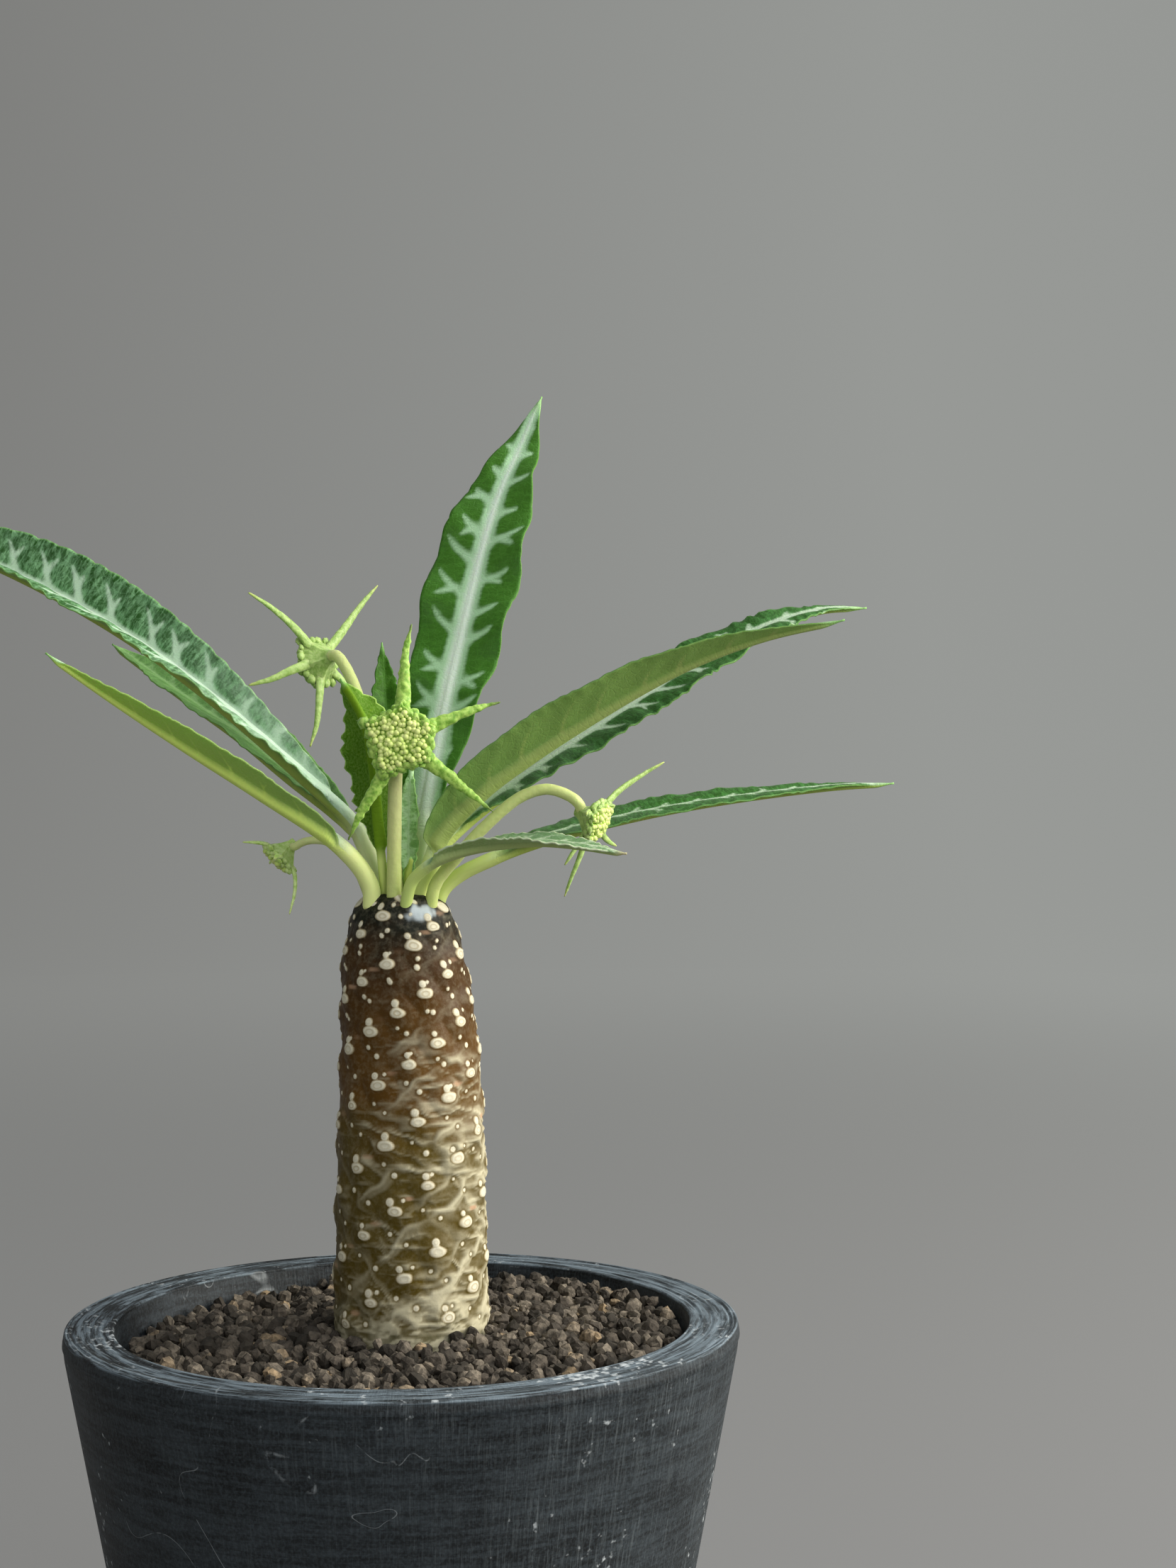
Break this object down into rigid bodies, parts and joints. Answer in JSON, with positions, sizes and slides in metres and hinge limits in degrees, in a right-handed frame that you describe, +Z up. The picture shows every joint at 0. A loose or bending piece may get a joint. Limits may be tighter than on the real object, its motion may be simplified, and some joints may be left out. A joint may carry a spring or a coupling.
{
  "type": "potted dorstenia crispa plant",
  "caption": "Potted caudex plant: thick scarred stem with crisped pale-veined leaves and star-shaped flower heads, in coarse gravel in a dark tapered pot.",
  "frame": {"origin": "centre of the flat underside of the pot, on the surface it stands on", "axes": "+Z up through the stem, +X to the right as seen from the front, +Y to the back"},
  "size_m": [0.1471, 0.09, 0.2103],
  "materials": {
    "pot": "matt charcoal, turned, with fine tool marks",
    "soil": "loose dark grey-brown volcanic grit",
    "stem": "smooth brown skin over green, corky lower down, cream leaf scars",
    "leaf": "dark green with a pale midrib and veins, finely hairy",
    "bloom": "bumpy fresh green",
    "floret": "close-set cream-green beads"
  },
  "bodies": {
    "root": {"pot": "pot", "soil": "soil", "stem": "stem", "leaf_left_upper": "leaf", "leaf_left_lower": "leaf", "leaf_left_back": "leaf", "leaf_back_upright": "leaf", "leaf_right_arching": "leaf", "leaf_right_back": "leaf", "leaf_right_narrow": "leaf", "leaf_front_short": "leaf", "leaf_front_folded": "leaf", "leaf_back_young": "leaf", "leaf_centre_young": "leaf", "leaf_bud": "leaf", "bloom_front": "bloom", "bloom_front_florets": "floret", "bloom_left_back": "bloom", "bloom_left_back_florets": "floret", "bloom_right": "bloom", "bloom_right_florets": "floret", "bloom_left_low": "bloom", "bloom_left_low_florets": "floret"}
  },
  "joints": []
}
